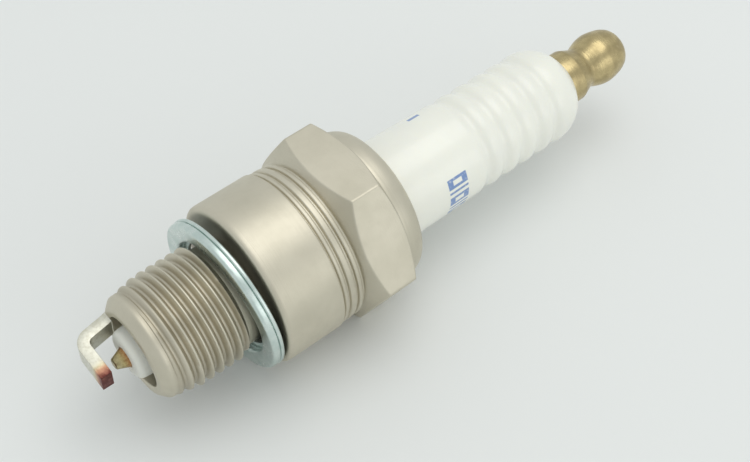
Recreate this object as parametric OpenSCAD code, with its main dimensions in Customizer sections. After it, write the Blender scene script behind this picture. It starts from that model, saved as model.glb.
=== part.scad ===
// Spark plug with a 14 mm thread, lying on its side.
// The plug's axis runs along X: the thread points to -X and the terminal to +X.
// The origin is on the axis, in the plane of the shell's gasket seat. One flat of the hexagon faces -Z.

/* [Thread] */
// Diameter over the thread crests
thread_d = 13.9; // [13.2:0.05:16.6]
// Distance from one thread turn to the next
thread_pitch = 1.25; // [1:0.05:1.5]
// Depth of the thread groove
thread_depth = 0.75; // [0.5:0.05:0.85]
// Length of the shell from the gasket seat to its front face
reach = 13.5; // [11:0.1:20]
// Diameter of the plain end in front of the thread
pilot_d = 12.6; // [11.8:0.05:12.8]
// Shortest plain end that is left in front of the thread
pilot_len = 1.1; // [0.8:0.1:3]
// Bevel on the front edge of the shell
pilot_bevel = 1; // [0.4:0.05:1.1]
// Diameter of the plain neck between the thread and the seat
neck_d = 12.2; // [11.8:0.05:12.9]
// Length of that neck
neck_len = 2.6; // [2.5:0.1:5]

/* [Shell body] */
// Diameter of the round body above the gasket seat
body_d = 19.9; // [18.6:0.1:24]
// Length of the round body
body_len = 7.45; // [6.5:0.05:10]
// Bevel around the gasket seat
seat_bevel = 0.6; // [0.2:0.05:0.8]
// Diameter of the narrow rings between the body and the hexagon
ring_d = 19.5; // [18.4:0.1:20.4]
// Depth of the grooves that part those rings
ring_groove = 0.35; // [0.15:0.05:0.5]
// Distance from the body to the hexagon's flats
ring_zone = 3.75; // [3.6:0.05:5]
// Width of the hexagon across its flats
hex_af = 20.8; // [20.4:0.1:25]
// Length of the hexagon along the middle of a flat
hex_len = 5.5; // [4.6:0.1:8]
// Slope of the turned bevels on the hexagon's corners
hex_bevel = 30; // [20:1:35]
// Diameter of the crimped collar behind the hexagon
collar_d = 19.2; // [17.6:0.1:20]
// Length of the crimped collar
collar_len = 3.1; // [2.9:0.1:5]
// Thickness of the lip that is rolled over the packing
lip_t = 0.9; // [0.7:0.05:1.2]

/* [Insulator] */
// Diameter of the nose behind its rounded tip
nose_tip_d = 5.8; // [5.2:0.1:6.2]
// Radius of the rounding at the nose's tip
nose_round = 1.1; // [0.3:0.05:1.2]
// Diameter of the nose where it meets its seat
nose_root_d = 7.7; // [6.8:0.1:8]
// How far the nose stands out of the shell
nose_out = 0.9; // [0.5:0.1:2]
// Diameter of the insulator in the thread's part of the shell
waist_d = 9.96; // [9.2:0.02:10]
// Diameter of the thick middle that the shell clamps
belly_d = 14.8; // [14.2:0.1:15.4]
// Diameter of the insulator where it leaves the shell
root_d = 12.4; // [12:0.1:12.8]
// Diameter of the ribbed part
rib_d = 11.85; // [11:0.05:12]
// Number of grooves between the ribs
rib_count = 5; // [0:1:6]
// Distance from one rib to the next
rib_pitch = 2.65; // [2.2:0.05:3]
// Depth of the grooves
rib_depth = 0.35; // [0.1:0.05:0.5]
// Distance from the gasket seat to the insulator's terminal end
insulator_top = 48.3; // [45:0.1:60]
// Radius of the rounded terminal end
top_round = 4.5; // [3:0.1:5]
// Diameter of the flat on the terminal end
top_flat_d = 7; // [6.9:0.1:8]
// Diameter of the hole for the centre electrode
tip_bore_d = 2.54; // [2.52:0.02:2.7]
// Diameter of the hole for the seals, the resistor and the stud
core_bore_d = 4.06; // [3.9:0.02:4.4]

/* [Centre electrode] */
// Diameter of the nickel electrode
electrode_d = 2.5; // [2.3:0.02:2.5]
// Diameter of its sparking tip
electrode_tip_d = 1.25; // [1:0.05:1.6]
// How far the electrode stands out of the nose
electrode_out = 1.46; // [1:0.02:2]
// Diameter of the copper core
copper_d = 1.5; // [1:0.05:1.8]
// Solid nickel left in front of the copper core
copper_cover = 2.6; // [2:0.1:4]

/* [Ground electrode] */
// Gap between the centre electrode and the ground electrode
spark_gap = 0.86; // [0.6:0.01:1.2]
// Width of the strap
strap_w = 2.65; // [2.2:0.05:3]
// Thickness of the strap
strap_t = 1.34; // [1.1:0.02:1.5]
// Distance from the axis to the strap's outside at its root
strap_out = 5.17; // [4.9:0.01:5.3]
// Lean of the strap's leg towards the axis
strap_lean = 9; // [0:0.5:12]
// Outer radius of the strap's bend
strap_bend = 2; // [1.7:0.05:2.4]
// How far the strap's arm reaches past the axis
strap_past = 1.25; // [0.8:0.05:1.8]
// Turn of the strap about the plug's axis, from +Y towards +Z
strap_turn = 8; // [0:1:60]

/* [Gasket] */
// Outer diameter of the gasket
gasket_d = 19.2; // [18:0.1:20.6]
// Inner diameter of the gasket's front roll
gasket_roll_bore = 14.4; // [14.3:0.05:17.2]
// Inner diameter of its rear leaf, which the thread keeps on the neck
gasket_leaf_bore = 13.4; // [13.2:0.05:13.8]
// Thickness of the front roll
gasket_roll_t = 0.95; // [0.7:0.05:1.1]
// Thickness of the rear leaf
gasket_leaf_t = 0.45; // [0.3:0.05:0.6]
// Gap from the rear leaf's middle to the seat
gasket_gap = 0.9; // [0.86:0.02:1.3]
// Lean of the loose gasket
gasket_lean = 3.5; // [0:0.5:4]
// Direction of the lean about the plug's axis, from +Y towards +Z
gasket_lean_turn = 48; // [0:1:359]

/* [Terminal] */
// Diameter of the stud's terminal thread
stud_thread_d = 3.94; // [3.6:0.02:4]
// Pitch of the stud's terminal thread
stud_pitch = 0.7; // [0.6:0.05:0.9]
// Length of the stud's terminal thread
stud_thread_len = 7.2; // [6:0.1:7.4]
// Diameter of the stud's flange
stud_flange_d = 5.2; // [4.8:0.1:5.4]
// Thickness of the stud's flange
stud_flange_t = 0.6; // [0.4:0.05:0.7]
// Overall length of the terminal nut
nut_len = 9.9; // [9.5:0.1:11.4]
// Diameter of the nut's skirt and of its head
nut_d = 6.7; // [6.4:0.05:7.2]
// Diameter of the nut's neck
neck_nut_d = 5.3; // [5:0.05:5.8]
// Diameter of the nut's flat end
nut_end_d = 3.2; // [2.4:0.1:4]

/* [Inner parts] */
// Thickness of the packing washer under the insulator
washer_t = 0.4; // [0.3:0.05:0.6]
// Length of the lower glass seal
lower_seal_len = 3.2; // [2.5:0.1:4]
// Length of the resistor
resistor_len = 8; // [6:0.1:10]
// Length of the upper glass seal
upper_seal_len = 5; // [4:0.1:6]
// Depth that the stud sits in the upper glass seal
stud_grip = 3; // [2:0.1:3.6]

/* [Clearances] */
// Radial clearance between pieces that are fitted together
fit_gap = 0.02; // [0.01:0.01:0.04]
// Radial clearance between the terminal nut and the stud
nut_gap = 0.05; // [0.02:0.01:0.1]
// Gap between the terminal nut and the insulator
nut_lift = 0.1; // [0.05:0.05:0.2]

/* [Hidden] */
$fn = 96;
eps = 0.01;

// thread: turns are counted back from the neck, and the first ones are cut off by a slim cone
thread_r = thread_d / 2;
thread_root_r = thread_r - thread_depth;
crest_flat = thread_pitch / 8;
root_flat = thread_pitch / 4;
groove_half = (thread_pitch - crest_flat) / 2;
runout = 0.55;
turns = floor((reach - neck_len - runout - pilot_len) / thread_pitch);
thread_front = -(neck_len + runout + turns * thread_pitch);
lead_slope = 0.2;
lead_step = 0.1;
pilot_r = pilot_d / 2;
bevel_len = min(pilot_bevel, pilot_len - 0.1);

// stations along the shell
hex_front = body_len + ring_zone;
hex_back = hex_front + hex_len;
hex_flat_r = hex_af / 2;
hex_corner_r = hex_flat_r / cos(30);
bevel_rise = tan(hex_bevel);
ring_root_r = ring_d / 2 - ring_groove;
shell_end = hex_back + collar_len;
lip_face = shell_end - lip_t;

// stations inside the shell
ledge_x = -2.4;
ledge_width = 0.6;
waist_bore_r = waist_d / 2 + fit_gap;
front_bore_r = waist_bore_r - ledge_width;
waist_end = 3.6;
belly_bore_r = belly_d / 2 + fit_gap;
belly_start = waist_end + belly_bore_r - waist_bore_r;
belly_end = hex_front + 1.2;
root_r = root_d / 2;
ring_wire_r = (belly_bore_r - root_r) / 2 - fit_gap;
ring_wire_at = (belly_bore_r + root_r) / 2;
lower_wire_x = belly_end + (belly_d / 2 - root_r) + ring_wire_r + eps;
upper_wire_x = lip_face - ring_wire_r - eps;

// stations along the insulator
nose_tip_x = -(reach + nose_out);
seat_x = ledge_x + washer_t;
head_x = -0.6;
rib_end = insulator_top - 4.1;
taper_end = rib_end - rib_count * rib_pitch - 0.6;
rib_width = rib_pitch * 0.75;
rib_cut_r = (pow(rib_width / 2, 2) + pow(rib_depth, 2)) / (2 * rib_depth);
top_centre_x = insulator_top - sqrt(pow(top_round, 2) - pow(top_flat_d / 2 - (rib_d / 2 - top_round), 2));

// stations inside the insulator
electrode_head_len = 1.4;
seal_d = core_bore_d - 2 * fit_gap;
lower_seal_x = head_x + electrode_head_len;
resistor_x = lower_seal_x + lower_seal_len;
upper_seal_x = resistor_x + resistor_len;
stud_foot_x = upper_seal_x + upper_seal_len - stud_grip;
stud_foot_d = seal_d - 0.6;
electrode_tip_x = nose_tip_x - electrode_out;
strap_face = electrode_tip_x - spark_gap;

// terminal nut
nut_x = insulator_top + nut_lift;
nut_end = nut_x + nut_len;
nut_bore_d = stud_thread_d + 2 * nut_gap;
stud_end = insulator_top + stud_flange_t + stud_thread_len;

// Places a shape that was drawn with its axis upright so that the axis lies along X
module along_x() { rotate([0, 90, 0]) children(); }

// A turned solid: the outline's first coordinate is the radius, its second the place along X
module turned(outline) { along_x() rotate_extrude() polygon(outline); }

// A plain rod from one place on the axis to another
module rod(d, from, to) { turned([[0, from], [d / 2, from], [d / 2, to], [0, to]]); }

function crest_r(x) = min(thread_r, pilot_r + lead_step + max(0, x - thread_front) * lead_slope);

function thread_outline() = [
    for (k = [turns - 1 : -1 : 0])
        let (mid = -(neck_len + runout + (k + 0.5) * thread_pitch))
            each [[crest_r(mid - groove_half), mid - groove_half],
                  [min(thread_root_r, crest_r(mid) - lead_step), mid - root_flat / 2],
                  [min(thread_root_r, crest_r(mid) - lead_step), mid + root_flat / 2],
                  [crest_r(mid + groove_half), mid + groove_half]]
];

// Narrow rings, each a trapezium, standing on a common root between the body and the hexagon
function ring_outline() =
    let (top = ring_d / 2, low = ring_root_r, x0 = body_len, s = ring_zone / 3.75)
        [[low, x0 + 0.1 * s], [low, x0 + 0.2 * s], [top, x0 + 0.35 * s], [top, x0 + 0.75 * s],
         [low, x0 + 0.88 * s], [low, x0 + 1 * s], [top, x0 + 1.15 * s], [top, x0 + 1.8 * s],
         [low, x0 + 1.98 * s], [low, x0 + 2.16 * s], [top, x0 + 2.32 * s], [top, x0 + 2.72 * s],
         [low, x0 + 2.85 * s]];

module hexagon() {
    reach_r = hex_corner_r + 0.2;
    intersection() {
        along_x() rotate([0, 0, 30]) translate([0, 0, body_len])
            cylinder(r = hex_corner_r, h = ring_zone + hex_len + collar_len / 2, $fn = 6);
        turned([[0, hex_front - (hex_flat_r - ring_root_r) * bevel_rise],
                [ring_root_r, hex_front - (hex_flat_r - ring_root_r) * bevel_rise],
                [reach_r, hex_front + (reach_r - hex_flat_r) * bevel_rise],
                [reach_r, hex_back - (reach_r - hex_flat_r) * bevel_rise],
                [collar_d / 2, hex_back + (hex_flat_r - collar_d / 2) * bevel_rise],
                [0, hex_back + (hex_flat_r - collar_d / 2) * bevel_rise]]);
    }
}

module shell_outside() {
    turned(concat(
        [[0, -reach], [pilot_r - pilot_bevel, -reach], [pilot_r, -reach + bevel_len],
         [pilot_r, thread_front]],
        thread_outline(),
        [[neck_d / 2, -neck_len], [neck_d / 2, 0], [body_d / 2 - seat_bevel, 0],
         [body_d / 2, seat_bevel], [body_d / 2, body_len]],
        ring_outline(),
        [[ring_root_r, hex_back], [collar_d / 2, hex_back], [collar_d / 2 - 0.1, shell_end - 1.2],
         [collar_d / 2 - 0.5, shell_end - 0.55], [collar_d / 2 - 1.2, shell_end - 0.2],
         [root_r + 0.1, shell_end], [0, shell_end]]));
}

module shell_inside() {
    turned([[0, -reach - 1], [front_bore_r, -reach - 1], [front_bore_r, ledge_x], [waist_bore_r, ledge_x],
            [waist_bore_r, waist_end], [belly_bore_r, belly_start], [belly_bore_r, lip_face],
            [root_r + fit_gap, lip_face], [root_r + fit_gap, shell_end + 1], [0, shell_end + 1]]);
}

module shell() {
    color("#b8b29c") difference() {
        union() {
            shell_outside();
            hexagon();
        }
        shell_inside();
    }
}

// Where the strap's bend is centred: first along X, then away from the axis
function bend_centre() =
    let (x = strap_face - strap_t + strap_bend)
        [x, strap_out + (-strap_bend + (x + reach) * sin(strap_lean)) / cos(strap_lean)];

// Straight out from the leg's outer face
function leg_normal() = [-sin(strap_lean), cos(strap_lean)];

// The round bend: a disc with a smaller one taken out, cut down to the bend's own angle
module strap_bend_shape() {
    bend = bend_centre();
    far = 3 * strap_bend;
    intersection() {
        difference() {
            translate(bend) circle(r = strap_bend);
            translate(bend) circle(r = strap_bend - strap_t);
        }
        polygon([bend, bend + far * [-1, 0], bend + far * [-1, 1], bend + far * leg_normal()]);
    }
}

module strap_leg_shape() {
    bend = bend_centre();
    polygon([[-reach, strap_out], [-reach, strap_out - strap_t / cos(strap_lean)],
             bend + (strap_bend - strap_t) * leg_normal(), bend + strap_bend * leg_normal()]);
}

module strap_arm_shape() {
    top = bend_centre()[1];
    polygon([[strap_face - strap_t, top], [strap_face, top], [strap_face, -strap_past],
             [strap_face - strap_t, -strap_past]]);
}

module ground_electrode() {
    color("#c9c8b4") rotate([strap_turn, 0, 0]) union() {
        linear_extrude(height = strap_w, center = true) strap_leg_shape();
        linear_extrude(height = strap_w, center = true) strap_bend_shape();
        linear_extrude(height = strap_w, center = true) strap_arm_shape();
    }
}

// Front roll and rear leaf of one folded sheet, drawn about the middle of the rear face
module gasket_section() {
    roll_in = gasket_roll_bore / 2;
    leaf_in = gasket_leaf_bore / 2;
    out = gasket_d / 2;
    round = gasket_roll_t / 2;
    front = -gasket_leaf_t - gasket_roll_t;
    translate([leaf_in, -gasket_leaf_t]) square([out - leaf_in, gasket_leaf_t]);
    translate([roll_in + round, front]) square([out - roll_in - 2 * round - 0.08, gasket_roll_t]);
    translate([roll_in + round, front + round]) circle(r = round);
    translate([out - round - 0.08, front + round]) circle(r = round);
}

module gasket() {
    color("#a9bdb6") translate([-gasket_gap, 0, 0]) rotate([gasket_lean_turn, 0, 0])
        rotate([0, 0, gasket_lean]) along_x() rotate_extrude() gasket_section();
}

module insulator_outline() {
    root_out = shell_end + 0.4;
    tip_r = nose_tip_d / 2;
    polygon([[0, nose_tip_x], [tip_r - nose_round, nose_tip_x],
             [tip_r - 0.6 * nose_round, nose_tip_x + 0.08 * nose_round],
             [tip_r - 0.29 * nose_round, nose_tip_x + 0.29 * nose_round],
             [tip_r - 0.08 * nose_round, nose_tip_x + 0.6 * nose_round],
             [tip_r, nose_tip_x + nose_round], [nose_root_d / 2, seat_x],
             [waist_d / 2, seat_x], [waist_d / 2, waist_end - fit_gap],
             [belly_d / 2, belly_start - fit_gap], [belly_d / 2, belly_end],
             [root_r, belly_end + belly_d / 2 - root_r], [root_r, root_out],
             [rib_d / 2, taper_end], [rib_d / 2, top_centre_x], [0, top_centre_x]]);
    // the rounded terminal end
    intersection() {
        translate([rib_d / 2 - top_round, top_centre_x]) circle(r = top_round);
        translate([0, top_centre_x - eps]) square([rib_d, insulator_top - top_centre_x + eps]);
    }
}

module insulator() {
    color("#f1f0e6") difference() {
        along_x() rotate_extrude() difference() {
            insulator_outline();
            if (rib_count > 0)
                for (k = [1 : rib_count])
                    translate([rib_d / 2 + rib_cut_r - rib_depth, rib_end - (k - 0.5) * rib_pitch])
                        circle(r = rib_cut_r);
        }
        rod(tip_bore_d, nose_tip_x - 1, head_x + eps);
        rod(core_bore_d, head_x, insulator_top + 1);
    }
}

module centre_electrode() {
    color("#8d8466") difference() {
        turned([[0, electrode_tip_x], [electrode_tip_d / 2, electrode_tip_x],
                [electrode_d / 2 - 0.06, nose_tip_x], [electrode_d / 2, nose_tip_x + 0.1],
                [electrode_d / 2, head_x + fit_gap], [seal_d / 2 - 0.1, head_x + fit_gap],
                [seal_d / 2 - 0.1, lower_seal_x], [0, lower_seal_x]]);
        rod(copper_d, electrode_tip_x + copper_cover, lower_seal_x + 1);
    }
}

module copper_core() {
    color("#b87333") rod(copper_d - 2 * fit_gap, electrode_tip_x + copper_cover + fit_gap, lower_seal_x);
}

module lower_glass_seal() { color("#5b5a55") rod(seal_d, lower_seal_x, resistor_x); }

module resistor() { color("#2d2c2a") rod(seal_d, resistor_x, upper_seal_x); }

module upper_glass_seal() {
    color("#5b5a55") difference() {
        rod(seal_d, upper_seal_x, upper_seal_x + upper_seal_len);
        rod(stud_foot_d + 2 * fit_gap, stud_foot_x, upper_seal_x + upper_seal_len + 1);
    }
}

// Rings cut into a rod: the foot is ribbed so that the glass holds it, and the head is threaded
module ring_cuts(d, depth, pitch, from, to) {
    count = floor((to - from) / pitch);
    for (k = [0 : count - 1]) {
        mid = from + (k + 0.5) * pitch;
        turned([[d / 2 - depth, mid], [d / 2 + eps, mid - pitch * 0.42], [d / 2 + eps, mid + pitch * 0.42]]);
    }
}

module terminal_stud() {
    flange_end = insulator_top + stud_flange_t;
    color("#a8a79f") difference() {
        turned([[0, stud_foot_x + fit_gap], [stud_foot_d / 2 - 0.3, stud_foot_x + fit_gap],
                [stud_foot_d / 2, stud_foot_x + fit_gap + 0.3], [stud_foot_d / 2, stud_foot_x + stud_grip],
                [seal_d / 2 - 0.1, stud_foot_x + stud_grip + 0.4], [seal_d / 2 - 0.1, insulator_top],
                [stud_flange_d / 2, insulator_top], [stud_flange_d / 2, flange_end],
                [stud_thread_d / 2, flange_end], [stud_thread_d / 2, stud_end - 0.4],
                [stud_thread_d / 2 - 0.4, stud_end], [0, stud_end]]);
        ring_cuts(stud_foot_d, 0.2, 0.8, stud_foot_x + 0.4, stud_foot_x + stud_grip - 0.2);
        ring_cuts(stud_thread_d, 0.38, stud_pitch, flange_end + 0.3, stud_end - 0.5);
    }
}

module terminal_nut() {
    r = nut_d / 2;
    slim = neck_nut_d / 2;
    bulge = r - slim;
    s = nut_len / 9.9;
    recess_r = stud_flange_d / 2 + 0.1;
    color("#a38f52") difference() {
        turned([[0, nut_x], [r, nut_x], [r, nut_x + 1.9 * s], [slim, nut_x + 3.5 * s],
                [slim, nut_x + 4 * s], [slim + 0.57 * bulge, nut_x + 4.8 * s],
                [slim + 0.9 * bulge, nut_x + 5.6 * s], [r, nut_x + 6.5 * s],
                [r * 0.97, nut_x + 7.4 * s], [r * 0.89, nut_x + 8.5 * s], [r * 0.79, nut_x + 9.2 * s],
                [r * 0.67, nut_x + 9.65 * s], [nut_end_d / 2, nut_end], [0, nut_end]]);
        rod(2 * recess_r, nut_x - 1, insulator_top + stud_flange_t + 0.1);
        rod(nut_bore_d, nut_x - 1, stud_end + 0.2);
    }
}

module packing_washer() {
    color("#9a9a94") difference() {
        rod(2 * (waist_bore_r - fit_gap), ledge_x, seat_x);
        rod(2 * (front_bore_r + 0.05), ledge_x - 1, seat_x + 1);
    }
}

module packing_ring(x) {
    along_x() rotate_extrude() translate([ring_wire_at, x]) circle(r = ring_wire_r);
}

module lower_packing_ring() { color("#8f8f8a") packing_ring(lower_wire_x); }

module upper_packing_ring() { color("#8f8f8a") packing_ring(upper_wire_x); }

module talc_packing() {
    color("#dcdcd4") difference() {
        rod(2 * (belly_bore_r - fit_gap), lower_wire_x + ring_wire_r + eps, upper_wire_x - ring_wire_r - eps);
        rod(2 * (root_r + fit_gap), lower_wire_x, upper_wire_x);
    }
}

shell();
ground_electrode();
gasket();
insulator();
centre_electrode();
copper_core();
lower_glass_seal();
resistor();
upper_glass_seal();
terminal_stud();
terminal_nut();
packing_washer();
lower_packing_ring();
talc_packing();
upper_packing_ring();
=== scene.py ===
# %% [markdown]
# # A spark plug, piece by piece
# A spark plug is mostly turned work: a steel shell, a ceramic body and a brass nut, all round about
# one axis. The packed model gives the true sizes and the bodies that move. Here each piece that
# shows gets a finer mesh with soft edges and a finish of its own, and the shell a real screw thread.
# The plug's lengths are in millimetres and are turned to metres when a mesh is made.

# %% Load the frame
import math

import bmesh
import bpy
from mathutils import Matrix, Vector


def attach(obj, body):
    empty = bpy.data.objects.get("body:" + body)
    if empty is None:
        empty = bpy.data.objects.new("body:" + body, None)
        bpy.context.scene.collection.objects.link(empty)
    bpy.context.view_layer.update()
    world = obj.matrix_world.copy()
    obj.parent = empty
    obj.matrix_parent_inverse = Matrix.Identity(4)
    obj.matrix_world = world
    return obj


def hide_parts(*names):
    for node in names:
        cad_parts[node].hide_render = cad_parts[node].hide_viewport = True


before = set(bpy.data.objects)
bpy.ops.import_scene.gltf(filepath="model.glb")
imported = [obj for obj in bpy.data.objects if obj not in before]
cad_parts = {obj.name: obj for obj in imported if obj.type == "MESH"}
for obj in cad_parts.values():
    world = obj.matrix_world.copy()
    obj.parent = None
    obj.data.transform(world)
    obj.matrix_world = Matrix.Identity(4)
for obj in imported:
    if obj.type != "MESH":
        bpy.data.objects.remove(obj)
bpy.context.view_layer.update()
MM = 0.001

# %% [markdown]
# ## Soft corners
# Nothing that comes off a lathe has a perfectly sharp corner, and it is the soft corner that
# catches the light. A bevel of the finished mesh could make it, but the plug's outlines are simple
# lists of points, so it is cheaper to round the outline before it is spun. Each point holds its
# place along the axis, its radius, and how large a rounding it gets.

# %% Round the corners of an outline
ARC_STEPS = 4
MOST_OF_SIDE = 0.48


def rounded(outline, closed=False):
    """Replaces each corner of [(x, r, rounding), ...] by a small arc of ARC_STEPS parts."""
    points = [Vector((p[0], p[1])) for p in outline]
    sizes = [p[2] if len(p) > 2 else 0.0 for p in outline]
    soft = []
    for i, corner in enumerate(points):
        at_end = not closed and i in (0, len(points) - 1)
        if at_end or sizes[i] == 0.0:
            soft.append(corner)
            continue
        before, after = points[i - 1], points[(i + 1) % len(points)]
        longest = MOST_OF_SIDE * min((before - corner).length, (after - corner).length)
        reach = min(sizes[i], longest)
        start = corner + (before - corner).normalized() * reach
        end = corner + (after - corner).normalized() * reach
        for k in range(ARC_STEPS + 1):
            t = k / ARC_STEPS
            soft.append((1 - t) ** 2 * start + 2 * t * (1 - t) * corner + t ** 2 * end)
    return soft


print("a rounded corner has", ARC_STEPS + 1, "points")


# %% [markdown]
# ## Turning an outline
# Spin is Blender's lathe. The outline is a chain of vertices in one plane, and spin copies it round
# the X axis and skins the gaps. Points on the axis become one pole when doubles are merged, and the
# normals are made to face outwards once the shell is closed.

# %% Spin an outline into a mesh
ROUND_STEPS = 192
SHARP_ANGLE = math.radians(38)
WELD = 1e-7


def chain(bm, outline, closed=False):
    """Puts an outline into the bmesh as joined vertices, and returns them with their edges."""
    verts = [bm.verts.new((p[0] * MM, p[1] * MM, 0)) for p in outline]
    pairs = list(zip(verts, verts[1:])) + ([(verts[-1], verts[0])] if closed else [])
    return verts + [bm.edges.new(pair) for pair in pairs]


def spin(bm, geom, steps, rise=0.0):
    """One turn about the X axis, climbing along it by rise (in millimetres) at each step."""
    bmesh.ops.spin(bm, geom=geom, cent=(0, 0, 0), axis=(1, 0, 0), dvec=(rise * MM, 0, 0),
                   angle=2 * math.pi, steps=steps, use_merge=rise == 0.0, use_normal_flip=False,
                   use_duplicate=False)
    bmesh.ops.remove_doubles(bm, verts=bm.verts, dist=WELD)


def finish_mesh(bm, name, body, node, material):
    """Closes the work on a bmesh: normals, shading, the object, its body and finish, and hides the packed
    piece it replaces.
    """
    bmesh.ops.recalc_face_normals(bm, faces=bm.faces)
    for edge in bm.edges:
        edge.smooth = len(edge.link_faces) == 2 and edge.calc_face_angle(0) < SHARP_ANGLE
    for face in bm.faces:
        face.smooth = True
    open_edges = sum(1 for edge in bm.edges if len(edge.link_faces) != 2)
    triangles = sum(len(face.verts) - 2 for face in bm.faces)
    mesh = bpy.data.meshes.new(name)
    bm.to_mesh(mesh)
    bm.free()
    piece = bpy.data.objects.new(name, mesh)
    bpy.context.scene.collection.objects.link(piece)
    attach(piece, body)
    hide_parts(node)
    mesh.materials.append(material)
    print(f"{name}: {triangles} triangles, {open_edges} open edges")
    return piece


def turned(outline, closed=False, steps=ROUND_STEPS):
    """A bmesh turned from one outline."""
    bm = bmesh.new()
    spin(bm, chain(bm, outline, closed), steps)
    return bm


print("a full turn has", ROUND_STEPS, "steps")


# %% [markdown]
# ## Shader sums in plain Python
# A finish is a sum of a few masks: where the print is, where the grain is, how they mix. Wiring each
# sum as Math nodes is slow to read. This small class wraps a socket, so that `mask * 0.5 + grain`
# adds the nodes by itself.

# %% A socket that can be added and multiplied
class Signal:
    """A number or colour that flows out of a node."""

    def __init__(self, tree, socket):
        self.tree, self.socket = tree, socket

    def _math(self, operation, a, b=0.0):
        return self.tree.node("ShaderNodeMath", {"operation": operation}, {0: a, 1: b})

    def __add__(self, other):
        return self._math("ADD", self, other)

    def __sub__(self, other):
        return self._math("SUBTRACT", self, other)

    def __mul__(self, other):
        return self._math("MULTIPLY", self, other)

    def __truediv__(self, other):
        return self._math("DIVIDE", self, other)

    def __rsub__(self, other):
        return self._math("SUBTRACT", other, self)

    def __gt__(self, other):
        return self._math("GREATER_THAN", self, other)

    __radd__ = __add__
    __rmul__ = __mul__

    def power(self, exponent):
        return self._math("POWER", self, exponent)

    def wrapped(self, size):
        """The rest after whole steps of size, so a pattern repeats."""
        return self._math("FLOORED_MODULO", self, size)

    def between(self, low, high, soft=0.02):
        """1 where the value lies from low to high, with soft sides."""
        return self.ramp(low - soft, low + soft) * (1.0 - self.ramp(high - soft, high + soft))

    def ramp(self, low, high):
        """0 below low, 1 above high and a smooth rise from one to the other."""
        settings = {"interpolation_type": "SMOOTHSTEP", "clamp": True}
        return self.tree.node("ShaderNodeMapRange", settings, {"Value": self, 1: low, 2: high})


print("a signal knows", ", ".join(name for name in vars(Signal) if not name.startswith("_")))

# %% [markdown]
# ## One method for every other node
# A node is always made in the same way: its kind, then its settings, then its sockets. One method
# does that, and the short ones below it name what a maker would ask for: a place, grain, a mix of
# two colours, relief. Every pattern reads Object coordinates, which stay with a piece as it moves.

# %% A material and its nodes
class Finish:
    """A material and the nodes that make it."""

    def __init__(self, name):
        self.material = bpy.data.materials.new(name)
        self.material.use_nodes = True
        self.tree = self.material.node_tree
        self.shader = self.tree.nodes["Principled BSDF"]

    def node(self, kind, settings=None, inputs=None, output=0):
        """Any node: its settings first, then the values or links of its sockets."""
        made = self.tree.nodes.new(kind)
        for key, value in (settings or {}).items():
            if key == "stops":
                while len(made.color_ramp.elements) < len(value):
                    made.color_ramp.elements.new(0.5)
                for element, (place, colour) in zip(made.color_ramp.elements, value):
                    element.position = place
                    element.color = (*colour, 1.0)
            else:
                setattr(made, key, value)
        for key, value in (inputs or {}).items():
            self.feed(made.inputs[key], value)
        return Signal(self, made.outputs[output])

    def feed(self, socket, value):
        """Gives a socket a link, a colour or a plain value."""
        if isinstance(value, Signal):
            self.tree.links.new(value.socket, socket)
        elif isinstance(value, (tuple, list)) and len(value) == 3 and socket.type == "RGBA":
            socket.default_value = (*value, 1.0)
        else:
            socket.default_value = value

    def place(self):
        """Where a point is on the resting object, in metres."""
        return self.node("ShaderNodeTexCoord", output=3)

    def millimetres(self):
        """The same place as three numbers in millimetres."""
        parts = self.node("ShaderNodeSeparateXYZ", inputs={0: self.place()}).socket.node
        return [Signal(self, part) * (1 / MM) for part in parts.outputs]

    def turned_place(self):
        """Along the axis and the radius in millimetres, and the turn about the axis in degrees."""
        x, y, z = self.millimetres()
        turn = self.node("ShaderNodeMath", {"operation": "ARCTAN2"}, {0: z, 1: y})
        return x, (y * y + z * z).power(0.5), turn * (180 / math.pi)

    def noise(self, size, detail=2.0, stretch=(1, 1, 1), roughness=0.5):
        """Soft noise whose blots are about size millimetres across, longer where stretch is larger."""
        scale = [1 / (size * MM * s) for s in stretch]
        place = self.node("ShaderNodeMapping", inputs={"Vector": self.place(), "Scale": scale})
        inputs = {"Vector": place, "Scale": 1.0, "Detail": detail, "Roughness": roughness}
        return self.node("ShaderNodeTexNoise", inputs=inputs)

    def mixed(self, factor, first, second, blend="MIX"):
        """One colour going over into another."""
        settings = {"data_type": "RGBA", "blend_type": blend}
        return self.node("ShaderNodeMix", settings, {0: factor, 6: first, 7: second}, output=2)

    def bump(self, height, depth, under=None):
        """Relief: height from 0 to 1, depth in millimetres."""
        inputs = {"Height": height, "Distance": depth * MM, "Strength": 1.0}
        if under:
            inputs["Normal"] = under
        return self.node("ShaderNodeBump", inputs=inputs)

    def set(self, **sockets):
        """Feeds the main shader, so that base_color goes to Base Color and so on."""
        for key, value in sockets.items():
            self.feed(self.shader.inputs[key.replace("_", " ").title().replace("Ior", "IOR")], value)
        print(self.material.name, "has", len(self.tree.nodes), "nodes")
        return self.material


# %% [markdown]
# ## The shell's finish
# The shell is cold-formed steel, turned and then plated with nickel. Barrel plating leaves a satin
# skin with a warm, champagne tint. The colour drifts a little over the piece and the tool's fine
# rings run round it. The thread's grooves and the seat behind the gasket get painted shade: their
# colour is darkened where they lie in shade. A metallic shader with a middling roughness gives the
# soft, wide highlight, and the rings are noise stretched round the axis. The stud and the packing's
# rings use the same steel without the painted shade.

# %% Satin nickel plating
# painted shade: near black for the seat behind the gasket, dark brown for the thread's roots
SEAT_PAINTED_SHADE, GROOVE_PAINTED_SHADE = (0.10, 0.09, 0.08), (0.26, 0.22, 0.15)


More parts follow.
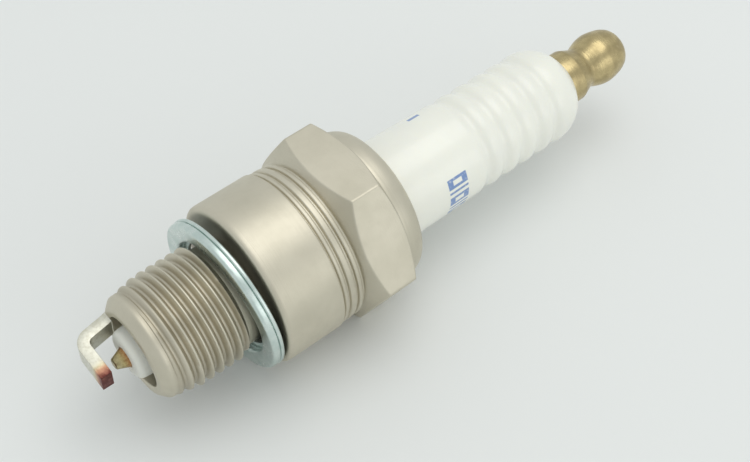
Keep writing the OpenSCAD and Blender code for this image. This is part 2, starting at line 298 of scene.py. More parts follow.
def plated(name, tint, shade, roughness, ring_depth, grain_depth, seat_painted_shade_share=0.0, groove_painted_shade_share=0.0):
    """The shares say how much painted shade the seat and the thread's grooves take."""
    finish = Finish(name)
    x, r, turn = finish.turned_place()
    drift = finish.noise(7.0, detail=3.0)
    cloud = finish.noise(1.1, detail=4.0, roughness=0.6)
    grain = finish.noise(0.09, detail=3.0, roughness=0.65)
    along = finish.node("ShaderNodeCombineXYZ", inputs={0: x, 1: r, 2: turn * 0.004})
    rings = finish.node("ShaderNodeTexNoise", inputs={"Vector": along, "Scale": 9.0, "Detail": 3.0})
    colour = finish.mixed(drift.ramp(0.3, 0.7), tint, shade)
    colour = finish.mixed(cloud.ramp(0.45, 0.75) * 0.12, colour, tuple(0.86 * c for c in shade))
    colour = finish.mixed((grain > 0.66) * 0.12, colour, tuple(0.6 * c for c in shade))
    # painted shade: the thread's roots are darkened as if they lay in shade
    if groove_painted_shade_share:
        groove = (1.0 - r.ramp(6.3, 6.85)) * (1.0 - x.ramp(-3.0, -2.6)) * x.ramp(-12.3, -11.6)
        colour = finish.mixed(groove * groove_painted_shade_share, colour, GROOVE_PAINTED_SHADE)
    # painted shade: the seat behind the gasket is darkened almost to black, as the gap there lies in shade
    if seat_painted_shade_share:
        seat = x.between(-1.6, 0.06, 0.3) * (1.0 - r.ramp(8.8, 9.6))
        colour = finish.mixed(seat * seat_painted_shade_share, colour, SEAT_PAINTED_SHADE)
    relief = finish.bump(rings, ring_depth)
    relief = finish.bump(grain, grain_depth, under=relief)
    rough = roughness + (cloud - 0.5) * 0.08 + (rings - 0.5) * 0.10 + (drift - 0.5) * 0.06
    return finish.set(base_color=colour, roughness=rough, metallic=1.0, normal=relief)


# the shell's seat and thread roots take painted shade
shell_finish = plated("satin_nickel_plating", (0.65, 0.61, 0.505), (0.58, 0.545, 0.445), 0.46, 0.012,
                      0.004, seat_painted_shade_share=0.75, groove_painted_shade_share=0.32)
stud_finish = plated("turned_steel", (0.58, 0.57, 0.53), (0.50, 0.49, 0.46), 0.32, 0.010, 0.003)
packing_finish = plated("drawn_steel", (0.50, 0.50, 0.48), (0.42, 0.42, 0.41), 0.42, 0.006, 0.004)

# %% [markdown]
# ## The gasket's finish
# The gasket is folded from thin zinc-plated sheet. Its passivation gives a cold green-blue cast in
# faint clouds with a few bright specks, and the press leaves faint flow marks across the ring. The
# marks are noise laid out by turn and radius, so that they follow the ring and not the room.

# %% Passivated zinc
def zinc():
    """Cold grey-green metal with flow marks across the ring."""
    finish = Finish("passivated_zinc")
    x, r, turn = finish.turned_place()
    cloud = finish.noise(1.6, detail=4.0, roughness=0.6)
    speckle = finish.noise(0.16, detail=2.0)
    spread = finish.node("ShaderNodeCombineXYZ", inputs={0: turn * 0.35, 1: r * 0.25, 2: x * 0.2})
    flow = finish.node("ShaderNodeTexNoise", inputs={"Vector": spread, "Scale": 1.2, "Detail": 3.0})
    colour = finish.mixed(cloud.ramp(0.3, 0.7), (0.68, 0.76, 0.73), (0.56, 0.66, 0.63))
    colour = finish.mixed((speckle > 0.68) * 0.10, colour, (0.74, 0.79, 0.76))
    relief = finish.bump(flow, 0.006)
    relief = finish.bump(speckle, 0.001, under=relief)
    rough = 0.30 + (cloud - 0.5) * 0.2 + (flow - 0.5) * 0.1
    return finish.set(base_color=colour, roughness=rough, metallic=1.0, normal=relief)


gasket_finish = zinc()

# %% [markdown]
# ## The ceramic's finish
# The insulator is white alumina under a clear glaze. Alumina is never pure white: it has a cream
# cast with very faint clouds, and the glaze lies in a slow wave. The base is rough and the coat
# above it is smooth, which is how a glaze works. The nose, inside the shell's front, is left bare.
# Where a maker prints the type there is a plain blue band: frames of ink with bars between them. It
# is sums of masks along the axis and round it, so it needs no picture and stays sharp at any size.

# %% Glazed alumina with a printed band
PRINT_BLUE = (0.10, 0.22, 0.52)
PRINT_FROM, PRINT_TO = 25.9, 28.7
PRINT_TURN, PRINT_HALF, PRINT_CELL = 186.0, 36.0, 24.0
FRAME_FROM, FRAME_TO, BAR_FROM, BAR_TO = 2.0, 15.0, 18.5, 21.5
STROKE, STROKE_TURN = 0.75, 3.5
MARK_FROM, MARK_TO, MARK_TURN_FROM, MARK_TURN_TO = 27.2, 28.8, 56.0, 62.0


def glazed():
    """White ceramic under a clear coat, with its print."""
    finish = Finish("glazed_alumina")
    x, r, turn = finish.turned_place()
    cloud = finish.noise(5.0, detail=3.0)
    fine = finish.noise(0.5, detail=4.0, roughness=0.6)
    wave = finish.noise(2.6, detail=1.0)
    colour = finish.mixed(cloud.ramp(0.3, 0.7), (0.88, 0.88, 0.80), (0.85, 0.85, 0.78))
    colour = finish.mixed((fine > 0.70) * 0.10, colour, (0.62, 0.60, 0.54))
    bare = 1.0 - x.ramp(-13.6, -12.6)
    colour = finish.mixed(bare * 0.7, colour, (0.68, 0.68, 0.62))
    # each cell of the band holds a frame of ink with an open middle and then a bar
    round_it = (turn + (180.0 - PRINT_TURN)).wrapped(360.0) - 180.0
    cell = (round_it + PRINT_HALF).wrapped(PRINT_CELL)
    across = x.between(PRINT_FROM, PRINT_TO, 0.05)
    outer = across * cell.between(FRAME_FROM, FRAME_TO, 0.5)
    inner = x.between(PRINT_FROM + STROKE, PRINT_TO - STROKE, 0.05)
    inner = inner * cell.between(FRAME_FROM + STROKE_TURN, FRAME_TO - STROKE_TURN, 0.5)
    bar = across * cell.between(BAR_FROM, BAR_TO, 0.5)
    band = round_it.between(-PRINT_HALF, PRINT_HALF, 0.5)
    # a single short mark stands apart from the band
    mark = x.between(MARK_FROM, MARK_TO, 0.05) * turn.between(MARK_TURN_FROM, MARK_TURN_TO, 0.6)
    worn = finish.noise(0.35, detail=3.0).ramp(0.28, 0.5)
    ink = ((outer - outer * inner + bar) * band + mark) * (0.62 + 0.3 * worn)
    colour = finish.mixed(ink, colour, PRINT_BLUE)
    relief = finish.bump(wave, 0.012)
    relief = finish.bump(fine, 0.0015, under=relief)
    rough = 0.36 + (cloud - 0.5) * 0.1 + bare * 0.3
    return finish.set(base_color=colour, roughness=rough, normal=relief, coat_weight=0.55 - 0.5 * bare,
                      coat_roughness=0.16, ior=1.6, subsurface_weight=0.08,
                      subsurface_radius=(0.0016, 0.0014, 0.0010), subsurface_scale=1.0)


ceramic_finish = glazed()

# %% [markdown]
# ## Dull brass
# The terminal nut is machined brass that has dulled to an olive brown. Each tool pass leaves rings,
# and a few brighter rubs show where it was handled. The rings are noise laid out by place and
# radius with hardly any turn in it, which draws them out round the axis.

# %% Dull brass
def dull_brass():
    """Olive brown metal with turning rings and brighter rubs."""
    finish = Finish("dull_brass")
    x, r, turn = finish.turned_place()
    along = finish.node("ShaderNodeCombineXYZ", inputs={0: x, 1: r, 2: turn * 0.003})
    rings = finish.node("ShaderNodeTexNoise", inputs={"Vector": along, "Scale": 7.0, "Detail": 3.0})
    patch = finish.noise(1.5, detail=3.0, roughness=0.6)
    grain = finish.noise(0.14, detail=3.0)
    colour = finish.mixed(patch.ramp(0.35, 0.65), (0.55, 0.45, 0.24), (0.42, 0.34, 0.18))
    colour = finish.mixed(patch.ramp(0.62, 0.8) * 0.5, colour, (0.74, 0.64, 0.40))
    colour = finish.mixed((grain > 0.63) * 0.2, colour, (0.24, 0.18, 0.09))
    relief = finish.bump(rings, 0.02)
    relief = finish.bump(grain, 0.006, under=relief)
    rough = 0.30 + (patch - 0.5) * 0.25 + (rings - 0.5) * 0.12
    return finish.set(base_color=colour, roughness=rough, metallic=1.0, normal=relief)


brass_finish = dull_brass()

# %% [markdown]
# ## Electrode nickel
# The electrodes are matt nickel alloy. The side electrode was heated at its end, so there it goes
# from straw to copper and to a dark plum face. A colour ramp holds those tints, and a mask that each
# electrode works out in its own way says how hot a place was.

# %% Electrode nickel with a heat tint
def electrode_nickel(name, light, dark, tinted):
    """tinted gives a 0 to 1 mask from the finish and its coordinates: 1 at the hottest end."""
    finish = Finish(name)
    heat = tinted(finish)
    mottle = finish.noise(0.45, detail=4.0, roughness=0.65)
    brushed = finish.noise(0.10, detail=3.0, stretch=(5, 1, 1))
    colour = finish.mixed(mottle.ramp(0.35, 0.7) * 0.6, light, dark)
    warm = finish.node("ShaderNodeValToRGB", {"stops": [
        (0.0, (1.0, 1.0, 1.0)), (0.30, (0.98, 0.90, 0.72)), (0.55, (0.86, 0.52, 0.38)),
        (0.8, (0.62, 0.30, 0.24)), (1.0, (0.22, 0.07, 0.07))]}, {0: heat + (mottle - 0.5) * 0.3})
    colour = finish.mixed(1.0, colour, warm, blend="MULTIPLY")
    relief = finish.bump(brushed, 0.008)
    relief = finish.bump(mottle, 0.02, under=relief)
    rough = 0.34 + (mottle - 0.5) * 0.2 + heat * 0.1
    return finish.set(base_color=colour, roughness=rough, metallic=1.0, normal=relief)


STRAP_TURN = math.radians(8)
HEAT_FROM, HEAT_TO = 1.0, -1.35
PIN_TIP_X, PIN_ROOT_X, PIN_HEAT = -15.7, -14.3, 0.55


def strap_heat(finish):
    """Along the arm: distance from the axis in the strap's own direction."""
    _, y, z = finish.millimetres()
    out = y * math.cos(STRAP_TURN) + z * math.sin(STRAP_TURN)
    return (1.0 - (out - HEAT_TO) / (HEAT_FROM - HEAT_TO)).ramp(0.0, 1.0)


def tip_heat(finish):
    """Along the centre electrode: brown where it leaves the ceramic, straw at the tip."""
    x = finish.millimetres()[0]
    return x.ramp(PIN_TIP_X, PIN_ROOT_X) * PIN_HEAT


strap_finish = electrode_nickel("electrode_nickel", (0.70, 0.69, 0.60), (0.52, 0.51, 0.43), strap_heat)
tip_finish = electrode_nickel("centre_electrode_nickel", (0.50, 0.44, 0.26), (0.24, 0.19, 0.10), tip_heat)

# %% [markdown]
# ## Finishes of the sealed pieces
# Inside the ceramic lie a copper core, two seals of copper and glass, a black resistor and the steel
# stud that the nut screws on to. Round it lie a washer and pressed talc between two wire rings. Only
# the stud's end is ever seen, when the nut is off, but each still gets the grain of what it is.

# %% Matt inner materials
def grainy(name, light, dark, size, roughness, metallic=0.0, depth=0.02):
    """A plain grainy stuff in two shades, with light flecks. Its grain is about size millimetres."""
    finish = Finish(name)
    grain = finish.noise(size, detail=4.0, roughness=0.65)
    fleck = finish.noise(size * 0.3, detail=2.0)
    colour = finish.mixed(grain.ramp(0.35, 0.65), light, dark)
    colour = finish.mixed((fleck > 0.64) * 0.4, colour, tuple(min(1.0, 1.5 * c) for c in light))
    relief = finish.bump(grain, depth)
    return finish.set(base_color=colour, roughness=roughness + (grain - 0.5) * 0.2, metallic=metallic,
                      normal=relief)


copper_finish = grainy("copper_rod", (0.74, 0.40, 0.26), (0.60, 0.30, 0.19), 0.5, 0.34, 1.0, 0.01)
seal_finish = grainy("fused_seal", (0.22, 0.20, 0.18), (0.12, 0.11, 0.10), 0.35, 0.5)
resistor_finish = grainy("carbon_resistor", (0.05, 0.05, 0.05), (0.02, 0.02, 0.02), 0.3, 0.6)
talc_finish = grainy("pressed_talc", (0.76, 0.76, 0.72), (0.62, 0.62, 0.59), 0.25, 0.85)

INNER = {"copper_core": copper_finish, "lower_glass_seal": seal_finish, "resistor": resistor_finish,
         "upper_glass_seal": seal_finish, "talc_packing": talc_finish, "packing_washer": packing_finish,
         "lower_packing_ring": packing_finish, "upper_packing_ring": packing_finish,
         "terminal_stud": stud_finish}
for node_name, material in INNER.items():
    node_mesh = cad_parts[node_name].data
    node_mesh.materials.clear()
    node_mesh.materials.append(material)
print(len(INNER), "packed pieces keep their mesh and get a finish")

# %% [markdown]
# ## The shell: a lathe outline with a gap for the thread
# The shell's outline starts at the thread's front end, goes over the front face and through the
# bore, comes back over the crimped collar and the hexagon, and stops at the neck. Spinning it
# leaves two open rings, and the screw thread is joined in between them.
# The hexagon is in the same outline. Its front and back edges move in and out with the turn, so that
# the flats are flat and the turned bevels cut the corners in the curved lines of a real hexagon.

# %% Sizes of the shell
THREAD_R, ROOT_R, PITCH = 6.95, 6.20, 1.25
PILOT_R, NECK_R, BODY_R, RING_R, GROOVE_R = 6.30, 6.10, 9.95, 9.76, 9.36
FACE_X, THREAD_FRONT, THREAD_BACK, COLLAR_END = -13.5, -11.85, -2.6, 20.1
FLAT_R, HEX_FRONT, HEX_BACK, BEVEL_RISE = 10.4, 11.2, 16.7, math.tan(math.radians(30))
FRONT_BORE_R, WAIST_BORE_R, BELLY_BORE_R, LIP_BORE_R, LIP_X = 4.37, 5.0, 7.42, 6.22, 19.4
LEDGE_X, WAIST_END, BELLY_START = -2.4, 3.6, 6.06
CORNER_ROUND, OVERLAP = 0.35, 0.06


def hexagon_radius(turn):
    """How far the hexagon reaches at a turn in radians. One flat faces straight down."""
    off = (turn + math.pi / 6) % (math.pi / 3) - math.pi / 6
    middle = (FLAT_R - CORNER_ROUND) / math.cos(math.pi / 6)
    to_flat = math.atan2(CORNER_ROUND * 0.5, middle + CORNER_ROUND * math.cos(math.pi / 6))
    if abs(off) < to_flat:
        return middle * math.cos(off) + math.sqrt(CORNER_ROUND ** 2 - (middle * math.sin(off)) ** 2)
    return FLAT_R / math.cos(math.pi / 6 - abs(off))


def shell_outline(turn):
    """The shell's outline at a turn about the axis, from the thread's front end round to its back end."""
    hexagon = hexagon_radius(turn)
    front = HEX_FRONT + (hexagon - FLAT_R) * BEVEL_RISE
    back = HEX_BACK - (hexagon - FLAT_R) * BEVEL_RISE
    face_and_bore = [
        (THREAD_FRONT - OVERLAP, PILOT_R), (FACE_X + 1.0, PILOT_R, 0.3), (FACE_X, PILOT_R - 1.0, 0.35),
        (FACE_X, FRONT_BORE_R, 0.25), (FACE_X + 1.0, FRONT_BORE_R), (LEDGE_X, FRONT_BORE_R),
        (LEDGE_X, WAIST_BORE_R), (WAIST_END, WAIST_BORE_R), (BELLY_START, BELLY_BORE_R),
        (LIP_X, BELLY_BORE_R), (LIP_X, LIP_BORE_R)]
    collar = [
        (COLLAR_END, LIP_BORE_R, 0.25), (20.05, 7.5, 0.8), (19.35, 8.95, 0.7), (18.2, 9.45, 0.5),
        (17.28, 9.6, 0.1), (16.9, 9.62, 0.12)]
    hexagon_and_rings = [
        (back, hexagon, 0.16), (front, hexagon, 0.16),
        (HEX_FRONT - (FLAT_R - 9.3) * BEVEL_RISE, 9.3, 0.08), (10.3, 9.22, 0.1),
        (10.22, 9.68, 0.14), (9.72, 9.70, 0.14), (9.62, GROOVE_R, 0.06),
        (9.40, GROOVE_R, 0.06), (9.28, 9.74, 0.12), (8.60, RING_R, 0.12), (8.46, 9.44, 0.06),
        (8.28, 9.44, 0.06), (8.16, RING_R, 0.10), (7.76, 9.78, 0.10), (7.64, 9.55, 0.05),
        (7.54, 9.55, 0.05)]
    body_and_seat = [
        (7.42, BODY_R, 0.12), (0.0, BODY_R, 0.75), (0.0, NECK_R, 0.25), (THREAD_BACK + OVERLAP, NECK_R)]
    return rounded(face_and_bore + collar + hexagon_and_rings + body_and_seat)


print("the hexagon is", round(2 * FLAT_R, 2), "mm over its flats and",
      round(2 * hexagon_radius(0.0), 2), "mm over its rounded corners")


# %% [markdown]
# ## A screw thread by spinning
# A thread is its own outline carried round a helix. Spin does that when each step also climbs: one
# pitch of the outline, swept for one turn and copied along the axis, welds to itself and becomes a
# threaded sleeve. Two planes cut it to length, and its radius is then held under a slim cone at the
# front, where a real die starts the thread, and under a steep one at the neck, where it runs out.

# %% Sweep the thread
THREAD_STEPS = 144
CREST_X, CREST_TURN = -3.7, 124.5
THREAD_PHASE = CREST_X - PITCH * CREST_TURN / 360
CREST_ROUND, ROOT_ROUND = 0.05, 0.14


def thread_sleeve(bm, crest, root, pitch, phase, x_from, x_to, limit):
    """A threaded sleeve between two planes. limit gives the largest radius at a place on the axis."""
    half = pitch / 2
    flat, floor = pitch / 16, pitch / 8
    one_pitch = rounded([
        (0, crest), (flat, crest, CREST_ROUND), (half - floor, root, ROOT_ROUND),
        (half + floor, root, ROOT_ROUND), (pitch - flat, crest, CREST_ROUND), (pitch, crest)])
    turns = math.ceil((x_to - x_from) / pitch) + 2
    start = phase - half - pitch * math.ceil((phase - x_from) / pitch + 1.5)
    made = bmesh.new()
    sweep = chain(made, [(start + p[0], p[1]) for p in one_pitch])
    spin(made, sweep, THREAD_STEPS, rise=pitch / THREAD_STEPS)
    first_turn = made.verts[:] + made.edges[:] + made.faces[:]
    for number in range(1, turns):
        copy = bmesh.ops.duplicate(made, geom=first_turn)["geom"]
        bmesh.ops.translate(made, verts=[g for g in copy if isinstance(g, bmesh.types.BMVert)],
                            vec=(number * pitch * MM, 0, 0))
    bmesh.ops.remove_doubles(made, verts=made.verts, dist=WELD)
    for plane_x, side in ((x_from, -1), (x_to, 1)):
        bmesh.ops.bisect_plane(made, geom=made.verts[:] + made.edges[:] + made.faces[:], dist=1e-8,
                               plane_co=(plane_x * MM, 0, 0), plane_no=(side, 0, 0), clear_outer=True)
    for vert in made.verts:
        radius = math.hypot(vert.co.y, vert.co.z)
        keep = min(1.0, limit(vert.co.x / MM) * MM / radius)
        vert.co.y *= keep
        vert.co.z *= keep
    swept = bpy.data.meshes.new("sleeve")
    made.to_mesh(swept)
    made.free()
    bm.from_mesh(swept)
    bpy.data.meshes.remove(swept)


def join_rings(bm, x):
    """Bridges the two open rings that lie on either side of a place on the axis."""
    near = [e for e in bm.edges if len(e.link_faces) == 1
            and all(abs(v.co.x / MM - x) < 2 * OVERLAP for v in e.verts)]
    bmesh.ops.bridge_loops(bm, edges=near)


LEAD_STEP, LEAD_STEP_SLOPE, LEAD_SLOPE, RUN_OUT_SLOPE = 0.1, 1.6, 0.2, 1.35


def shell_thread_limit(x):
    """The largest radius that the thread may have at a place on the axis."""
    from_front, from_back = max(x - THREAD_FRONT, 0.0), max(THREAD_BACK - x, 0.0)
    lead_in = PILOT_R + min(from_front * LEAD_STEP_SLOPE, LEAD_STEP) + from_front * LEAD_SLOPE
    return min(THREAD_R + 0.01, lead_in, NECK_R + from_back * RUN_OUT_SLOPE)


print("the thread makes", round((THREAD_BACK - THREAD_FRONT) / PITCH, 1), "turns")

# %% [markdown]
# ## Turning the shell and shaping its hexagon
# Every vertex of the outline carries its own number through the spin. The numbers whose place differs
# between a flat and a corner belong to the hexagon, and each such vertex is put where the outline
# for its own turn has it. The columns of vertices are also drawn towards the hexagon's corners, where
# the tight rounding needs more of them.

# %% Turn the shell, shape its hexagon and join the thread
SHELL_STEPS = 288
CORNER_PULL = 0.3

shell_bm = bmesh.new()
flat_outline = shell_outline(math.pi / 6)
station = shell_bm.verts.layers.int.new("station")
shell_geom = chain(shell_bm, flat_outline)
for number, vert in enumerate(v for v in shell_geom if isinstance(v, bmesh.types.BMVert)):
    vert[station] = number
spin(shell_bm, shell_geom, SHELL_STEPS)
corner_outline = shell_outline(0.0)
moving = {i for i, (a, b) in enumerate(zip(flat_outline, corner_outline)) if (a - b).length > 1e-6}
outlines = {}
for vert in shell_bm.verts:
    if vert[station] in moving:
        turn = math.atan2(vert.co.z, vert.co.y)
        off = (turn + math.pi / 6) % (math.pi / 3) - math.pi / 6
        part = off / (math.pi / 6)
        pulled = (1 - CORNER_PULL) * part ** 3 + CORNER_PULL * part
        new_turn = turn - off + math.pi / 6 * pulled
        key = round(new_turn, 6)
        if key not in outlines:
            outlines[key] = shell_outline(new_turn)
        x, r = outlines[key][vert[station]]
        vert.co = (x * MM, r * MM * math.cos(new_turn), r * MM * math.sin(new_turn))
thread_sleeve(shell_bm, THREAD_R, ROOT_R, PITCH, THREAD_PHASE, THREAD_FRONT, THREAD_BACK, shell_thread_limit)
join_rings(shell_bm, THREAD_FRONT)
join_rings(shell_bm, THREAD_BACK)
shell = finish_mesh(shell_bm, "shell_body", "plug", "shell", shell_finish)

# %% [markdown]
# ## The insulator
# The ceramic is pressed, ground and fired. Its ribs are shallow waves, not sharp grooves, so the
# ribbed stretch is drawn with a cosine. The shoulder is a large rounding.

# %% Turn the insulator
RIB_FIRST, RIB_LAST, RIB_PITCH, RIB_DEPTH = 30.95, 44.2, 2.65, 0.34
TOP_X, TOP_FLAT_R, TOP_ROUND, RIB_FIRST_R, RIB_R = 48.3, 3.5, 4.5, 5.98, 5.92
RIB_STEPS, SHOULDER_STEPS = 100, 20


def rib_wave(x, r):
    """The radius with its ribs: crests keep their size and the hollows between them are wider."""
    phase = (x - RIB_FIRST) / RIB_PITCH
    return r - RIB_DEPTH * (0.5 - 0.5 * math.cos(2 * math.pi * phase)) ** 1.4


rib_places = [RIB_FIRST + (RIB_LAST - RIB_FIRST) * k / RIB_STEPS for k in range(RIB_STEPS + 1)]
rib_taper = (RIB_FIRST_R - RIB_R) / (RIB_LAST - RIB_FIRST)
ribs = [(x, rib_wave(x, RIB_FIRST_R - rib_taper * (x - RIB_FIRST))) for x in rib_places]
round_r = RIB_R - TOP_ROUND
round_end = math.acos((TOP_FLAT_R - round_r) / TOP_ROUND)
round_x = TOP_X - TOP_ROUND * math.sin(round_end)
shoulder = [(round_x + TOP_ROUND * math.sin(a), round_r + TOP_ROUND * math.cos(a))
            for a in [round_end * k / SHOULDER_STEPS for k in range(1, SHOULDER_STEPS + 1)]]
insulator_outline = rounded(
    [(-13.9, 1.29), (-14.4, 1.29, 0.06), (-14.4, 2.9, 1.35), (-2.0, 3.85), (-2.0, 4.9), (3.6, 4.9),
     (6.05, 7.36, 0.3), (12.4, 7.36, 0.3), (13.6, 6.2, 0.3), (20.3, 6.2), (24.0, 6.12)]
    + ribs + shoulder
    + [(TOP_X, 2.2), (TOP_X, 2.04, 0.08), (-0.6, 2.04), (-0.6, 1.29), (-13.0, 1.29)])
insulator = finish_mesh(turned(insulator_outline, closed=True), "insulator_body", "plug",
                        "insulator", ceramic_finish)

# %% [markdown]
# ## The centre electrode
# The centre electrode is a turned pin with a blunt cone, worn a little round by the sparks. Behind
# the tip it is hollow, for the copper core that carries the heat away.

# %% Turn the centre electrode
pin_outline = rounded([(-15.86, 0.0), (-15.86, 0.62, 0.16), (-14.42, 1.19, 0.08), (-14.3, 1.25),
                       (-0.62, 1.25), (-0.62, 1.9), (0.8, 1.9), (0.8, 0.77), (-13.24, 0.77), (-13.24, 0.0)])
centre_pin = finish_mesh(turned(pin_outline, steps=96), "centre_electrode_pin", "plug",
                         "centre_electrode", tip_finish)

# %% [markdown]
# ## The side electrode
# The side electrode is a strip of nickel that is welded to the shell's face, leans inwards, bends
# over and ends past the axis. One rectangle is placed at every station along the way and bridged to
# the next one. The foot is wider and sinks a little into the face, where the resistance weld
# squeezed it out. Last, the long edges are rounded and the strip is turned to its place.

# %% Sweep the side electrode
STRAP_W, STRAP_T, STRAP_OUT = 2.65, 1.34, 5.17
STRAP_LEAN, STRAP_BEND, STRAP_PAST = math.radians(9), 2.0, 1.25
ARM_OUTER_X = -18.06
BEND_STEPS = 14
FOOT_SINK, FOOT_SPREAD_OUT, FOOT_SPREAD_IN = 0.04, 0.05, 0.10
FOOT_WIDER, FACE_WIDER, FOOT_TOP = 0.3, 0.26, 0.16
STRAP_EDGE = 0.2

bend_x = ARM_OUTER_X + STRAP_BEND
bend_r = STRAP_OUT + (-STRAP_BEND + (bend_x - FACE_X) * math.sin(STRAP_LEAN)) / math.cos(STRAP_LEAN)
normal = Vector((-math.sin(STRAP_LEAN), math.cos(STRAP_LEAN)))
leg_end = [Vector((bend_x, bend_r)) + k * normal for k in (STRAP_BEND, STRAP_BEND - STRAP_T)]
leg_foot = [(FACE_X, STRAP_OUT), (FACE_X, STRAP_OUT - STRAP_T / math.cos(STRAP_LEAN))]


def cross_section(outer, inner, width):
    """The strap's four corners at one station, in metres, before it is turned about the axis."""
    return [Vector((p[0], p[1], side * width / 2)) * MM for p, side in
            ((outer, -1), (outer, 1), (inner, 1), (inner, -1))]


weld_foot = [(FACE_X + FOOT_SINK, STRAP_OUT + FOOT_SPREAD_OUT),
             (FACE_X + FOOT_SINK, STRAP_OUT - STRAP_T - FOOT_SPREAD_IN)]
foot_top = [Vector(low).lerp(high, FOOT_TOP) for low, high in zip(leg_foot, leg_end)]
stations = [cross_section(*weld_foot, STRAP_W + FOOT_WIDER)]
stations.append(cross_section(*leg_foot, STRAP_W + FACE_WIDER))
stations.append(cross_section(*foot_top, STRAP_W))
stations.append(cross_section(*leg_end, STRAP_W))
for k in range(1, BEND_STEPS + 1):
    angle = math.pi / 2 + STRAP_LEAN + (math.pi / 2 - STRAP_LEAN) * k / BEND_STEPS
    ray = Vector((math.cos(angle), math.sin(angle)))
    centre = Vector((bend_x, bend_r))
    stations.append(cross_section(centre + STRAP_BEND * ray, centre + (STRAP_BEND - STRAP_T) * ray, STRAP_W))
for reach_r in (bend_r * 0.4, 0.2, -STRAP_PAST):
    stations.append(cross_section((ARM_OUTER_X, reach_r), (ARM_OUTER_X + STRAP_T, reach_r), STRAP_W))
strap_bm = bmesh.new()
loops = []
for corners in stations:
    verts = [strap_bm.verts.new(corner) for corner in corners]
    loops.append([strap_bm.edges.new((verts[i - 1], verts[i])) for i in range(4)])
for one, other in zip(loops, loops[1:]):
    bmesh.ops.bridge_loops(strap_bm, edges=one + other)
for end in (loops[0], loops[-1]):
    bmesh.ops.contextual_create(strap_bm, geom=end)
long_edges = [e for e in strap_bm.edges if len(e.link_faces) == 2 and e.calc_face_angle(0) > 0.9]
bmesh.ops.bevel(strap_bm, geom=long_edges, offset=STRAP_EDGE * MM, offset_type="OFFSET", segments=4,
                profile=0.5, affect="EDGES", material=-1, clamp_overlap=True)
bmesh.ops.rotate(strap_bm, verts=strap_bm.verts, cent=(0, 0, 0),
                 matrix=Matrix.Rotation(STRAP_TURN, 3, "X"))
strap = finish_mesh(strap_bm, "side_electrode_strap", "plug", "ground_electrode",
                    strap_finish)

# %% [markdown]
# ## The loose gasket
# The gasket is one strip folded over itself: a thin leaf behind, a fat roll in front, and a crease
# on the rim where they meet. The thread keeps it on the neck, where it hangs a little askew.

# %% Turn the gasket and tip it
GASKET_X, GASKET_LEAN, GASKET_LEAN_TURN = -0.9, math.radians(3.5), math.radians(48)
gasket_outline = rounded(
    [(0.0, 6.70, 0.12), (0.0, 9.58, 0.2), (-0.43, 9.58, 0.16), (-0.49, 9.30, 0.05), (-0.56, 9.52, 0.16),
     (-1.40, 9.46, 0.5), (-1.40, 7.25, 0.42), (-0.56, 7.22, 0.2), (-0.47, 7.34, 0.04), (-0.45, 6.70, 0.12)],
    closed=True)
gasket_bm = turned(gasket_outline, closed=True)
for vert in gasket_bm.verts:
    turn = math.atan2(vert.co.z, vert.co.y)
    vert.co.x += MM * 0.02 * (math.sin(3 * turn + 0.6) + 0.5 * math.sin(7 * turn))
lean = (Matrix.Translation((GASKET_X * MM, 0, 0)) @ Matrix.Rotation(GASKET_LEAN_TURN, 4, "X")
        @ Matrix.Rotation(GASKET_LEAN, 4, "Z"))
bmesh.ops.transform(gasket_bm, matrix=lean, verts=gasket_bm.verts)
gasket = finish_mesh(gasket_bm, "folded_gasket", "gasket", "gasket", gasket_finish)

# %% [markdown]
# ## The terminal nut
# The nut has a flared skirt, a narrow neck that a cap's clip snaps into, and a barrel-shaped head.
# It is hollow from below, where the stud's thread goes in, so it can be screwed off.

# %% Turn the terminal nut
nut_outline = rounded(
    [(58.30, 0.0), (58.30, 1.60, 0.25), (58.05, 2.24, 0.2), (57.60, 2.64, 0.2), (56.90, 2.98, 0.3),
     (55.80, 3.24, 0.4), (54.90, 3.34, 0.3), (54.00, 3.23, 0.3), (53.20, 2.98, 0.3), (52.40, 2.65, 0.06),
     (51.95, 2.65, 0.2), (50.30, 3.34, 0.12), (48.40, 3.34, 0.08), (48.40, 2.72, 0.05), (49.02, 2.72),
     (49.02, 2.02), (56.3, 2.02), (56.3, 0.0)])
terminal_nut = finish_mesh(turned(nut_outline, closed=False, steps=128), "terminal_nut_brass",
                           "terminal_nut", "terminal_nut", brass_finish)

# %% [markdown]
# ## The floor
# The plug lies on one flat of its hexagon, on a plain pale sheet that reaches past the picture's
# edges. The floor belongs to the stage and not to the part.

# %% The floor
FLOOR_Z = -FLAT_R * MM
floor_bm = bmesh.new()
bmesh.ops.create_grid(floor_bm, x_segments=1, y_segments=1, size=1.2)
bmesh.ops.translate(floor_bm, verts=floor_bm.verts, vec=(0, 0, FLOOR_Z))
floor_mesh = bpy.data.meshes.new("floor")
floor_bm.to_mesh(floor_mesh)
floor_bm.free()
floor = bpy.data.objects.new("floor", floor_mesh)
bpy.context.scene.collection.objects.link(floor)
floor_finish = Finish("pale_sheet")
floor_mesh.materials.append(floor_finish.set(base_color=(0.80, 0.815, 0.81), roughness=0.75))
print("the floor is", round(FLAT_R, 1), "mm below the axis")

# %% [markdown]
# ## The lamps
# Satin metal shows what stands around it, so the room matters as much as the lamps. The pale world
# stands for a light tent's walls. A wide lamp overhead makes the soft highlights and the shadow on
# the sheet, and a second one, low and in front, lights the near side.


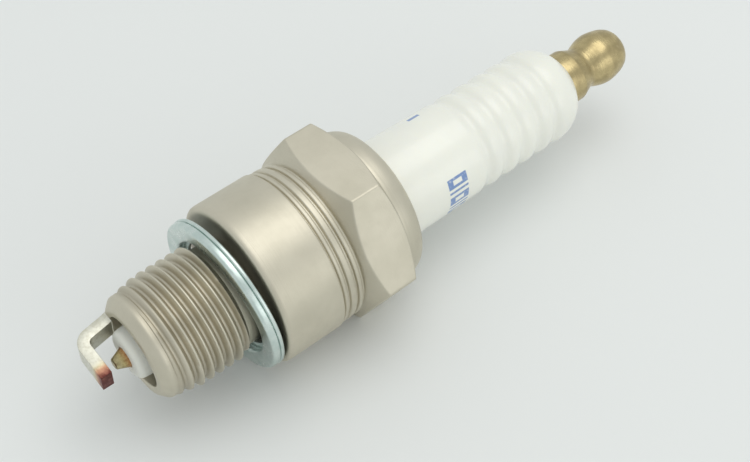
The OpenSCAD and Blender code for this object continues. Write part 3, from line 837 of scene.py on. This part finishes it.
# %% Place the lamps
def lamp(name, place, target, size, watts, colour):
    """A round lamp at a place in metres, aimed at a target."""
    data = bpy.data.lights.new(name, "AREA")
    data.shape, data.size, data.energy, data.color = "DISK", size, watts, colour
    light = bpy.data.objects.new(name, data)
    light.location = place
    light.rotation_euler = (Vector(target) - Vector(place)).to_track_quat("-Z", "Y").to_euler()
    bpy.context.scene.collection.objects.link(light)


KEY_AT, FRONT_AT = (0.16, -0.02, 0.50), (0.20, -0.60, 0.14)
LAMP_AIM, LAMP_SIZE = (0.02, 0, 0), 0.50
lamp("key", KEY_AT, LAMP_AIM, LAMP_SIZE, 0.74, (1.0, 0.98, 0.94))
lamp("front", FRONT_AT, LAMP_AIM, LAMP_SIZE, 0.45, (1.0, 1.0, 0.98))
world = bpy.data.worlds.new("light_tent")
bpy.context.scene.world = world
world.use_nodes = True
world.node_tree.nodes["Background"].inputs["Color"].default_value = (0.95, 0.985, 0.98, 1)
world.node_tree.nodes["Background"].inputs["Strength"].default_value = 0.755
bpy.context.scene.view_settings.view_transform = "Standard"
print("the lamps are", round(Vector(KEY_AT).length, 2), "and", round(Vector(FRONT_AT).length, 2),
      "m from the gasket seat")

# %% [markdown]
# ## The camera
# The camera looks down at the plug from the thread's side, with the terminal further away, and it is
# tilted so that the plug runs across the picture from corner to corner. Its directions are written
# as three axes: to the right, upwards, and back towards the viewer.

# %% Place the camera
CAMERA_AT = Vector((-42.98, -83.68, 121.75)) * MM
RIGHT, UP, BACK = (0.7768, -0.6289, -0.0327), (0.5033, 0.5887, 0.6326), (-0.3785, -0.5078, 0.7739)
camera_data = bpy.data.cameras.new("camera")
camera_data.lens, camera_data.sensor_width = 66.9, 36
camera_data.clip_start, camera_data.clip_end = 0.005, 10
camera = bpy.data.objects.new("camera", camera_data)
turned_to = Matrix((RIGHT, UP, BACK)).transposed().to_4x4()
camera.matrix_world = Matrix.Translation(CAMERA_AT) @ turned_to
bpy.context.scene.collection.objects.link(camera)
bpy.context.scene.camera = camera
print("the camera is", round(CAMERA_AT.length, 2), "m from the gasket seat")

# %% [markdown]
